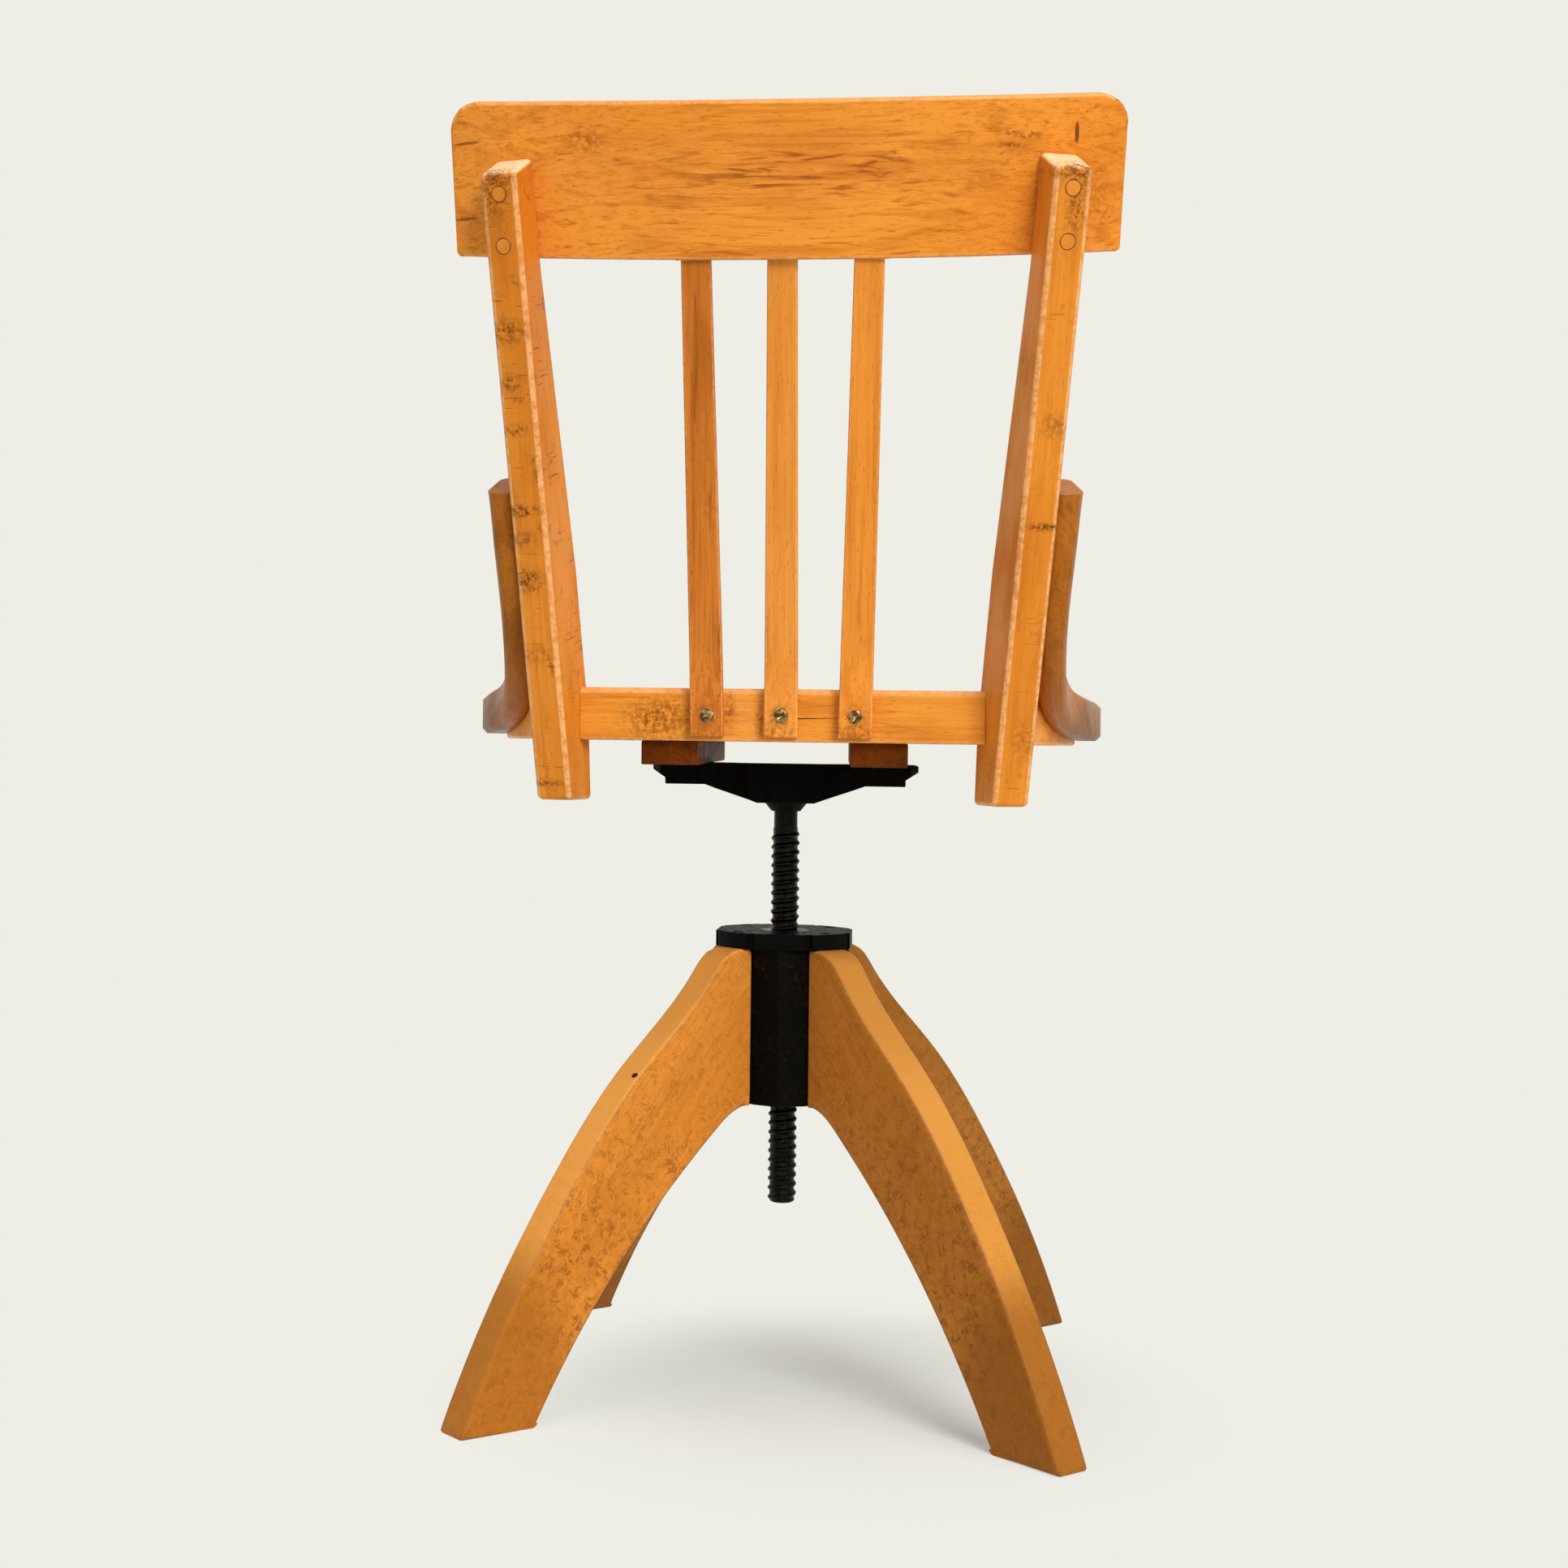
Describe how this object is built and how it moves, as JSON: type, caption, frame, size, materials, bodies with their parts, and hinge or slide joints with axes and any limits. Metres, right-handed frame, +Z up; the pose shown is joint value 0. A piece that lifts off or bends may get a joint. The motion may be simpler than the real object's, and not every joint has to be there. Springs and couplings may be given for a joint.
{
  "type": "swivel desk chair",
  "caption": "Wooden swivel desk chair with a curved crest rail, slatted back, bentwood hip braces and a cast hub with a screw spindle on curved legs.",
  "frame": {"origin": "on the floor under the spindle's axis", "axes": "+Z up along the spindle; the chair faces -Y and its back is towards +Y; +X is the sitter's left"},
  "size_m": [0.4518, 0.5104, 0.8417],
  "materials": {
    "leg_wood": "worn satin varnish",
    "frame_wood": "worn satin varnish",
    "slat_wood": "worn satin varnish",
    "seat_wood": "worn satin varnish",
    "brace_wood": "worn satin varnish",
    "batten_wood": "dark stain",
    "cast_iron": "black paint on rough casting",
    "spindle_steel": "oiled and blackened",
    "dark_steel": "dull",
    "screw_brass": "tarnished"
  },
  "bodies": {
    "base": {"leg_rear_left": "leg_wood", "leg_rear_right": "leg_wood", "leg_front_right": "leg_wood", "leg_front_left": "leg_wood", "hub_column": "cast_iron", "hub_cap": "cast_iron", "cap_screws": "dark_steel", "leg_bolts": "dark_steel"},
    "nut": {"spindle_nut": "dark_steel"},
    "seat": {"spindle": "spindle_steel", "spider": "cast_iron", "spider_pin": "dark_steel", "spider_screws": "dark_steel", "batten_left": "batten_wood", "batten_right": "batten_wood", "batten_screws": "dark_steel", "rear_rail": "frame_wood", "side_rail_left": "frame_wood", "side_rail_right": "frame_wood", "front_rail": "frame_wood", "corner_blocks": "frame_wood", "seat_panel": "seat_wood", "post_left": "frame_wood", "post_right": "frame_wood", "crest_rail": "frame_wood", "crest_screws": "screw_brass", "crest_plugs": "frame_wood", "slat_left": "slat_wood", "slat_middle": "slat_wood", "slat_right": "slat_wood", "slat_screws": "screw_brass", "hip_brace_left": "brace_wood", "hip_brace_right": "brace_wood", "brace_screws": "screw_brass"}
  },
  "joints": [
    {"name": "seat_turn", "type": "hinge", "parent": "base", "child": "nut", "pos_m": [0, 0, 0.3], "axis": [0, 0, 1], "range_deg": [-4140, 3870]},
    {"name": "seat_rise", "type": "slide", "parent": "nut", "child": "seat", "axis": [0, 0, 1], "range_m": [-0.0748, 0.0699]}
  ],
  "couplings": [
    {"joint": "seat_rise", "follows": "seat_turn", "m_per_rad": 0.0010345}
  ]
}
